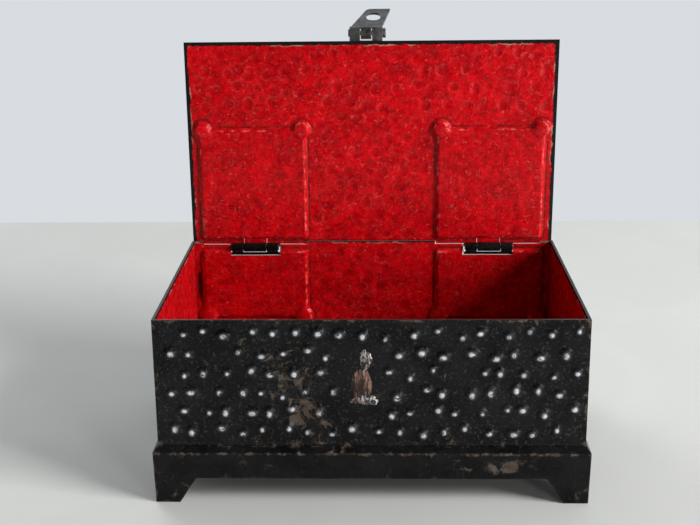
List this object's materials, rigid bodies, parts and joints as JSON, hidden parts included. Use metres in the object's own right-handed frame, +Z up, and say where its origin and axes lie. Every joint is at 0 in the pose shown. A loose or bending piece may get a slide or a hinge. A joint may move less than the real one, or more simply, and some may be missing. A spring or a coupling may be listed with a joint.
{
  "type": "jewelry box",
  "caption": "Small hammered sheet-metal casket with a hinged lid, a swinging hasp, a red painted inside and a plinth on bracket feet.",
  "frame": {"origin": "on the table, midway between the sides and midway between the plinth's front and the hindmost point of the open box", "axes": "+X to the right seen from the front, +Y to the back, +Z up"},
  "size_m": [0.166, 0.132, 0.1716],
  "materials": {
    "black_paint": "worn gloss",
    "red_paint": "worn gloss",
    "worn_steel": "tarnished",
    "bare_steel": "tarnished",
    "solder": "rough"
  },
  "bodies": {
    "base": {"front_wall": "black_paint", "back_wall": "black_paint", "left_wall": "black_paint", "right_wall": "black_paint", "floor_panel": "red_paint", "plinth_front": "black_paint", "plinth_back": "black_paint", "plinth_left": "black_paint", "plinth_right": "black_paint", "staple_solder": "solder", "left_hinge_body_leaf": "black_paint", "left_hinge_body_rivets": "black_paint", "left_hinge_pin": "bare_steel", "right_hinge_body_leaf": "black_paint", "right_hinge_body_rivets": "black_paint", "right_hinge_pin": "bare_steel"},
    "lid": {"lid_panel": "black_paint", "left_hinge_lid_leaf": "black_paint", "left_hinge_lid_rivets": "black_paint", "right_hinge_lid_leaf": "black_paint", "right_hinge_lid_rivets": "black_paint", "hasp_lid_leaf": "worn_steel", "hasp_pin": "bare_steel"},
    "hasp": {"hasp_strap": "worn_steel"}
  },
  "joints": [
    {"name": "lid_hinge", "type": "hinge", "parent": "base", "child": "lid", "pos_m": [0, 0.02662, 0.0722], "axis": [1, 0, 0], "range_deg": [0, 94.5]},
    {"name": "hasp_hinge", "type": "hinge", "parent": "lid", "child": "hasp", "pos_m": [-0.002, 0.04078, 0.16417], "axis": [1, 0, 0], "range_deg": [-100, 160]}
  ]
}
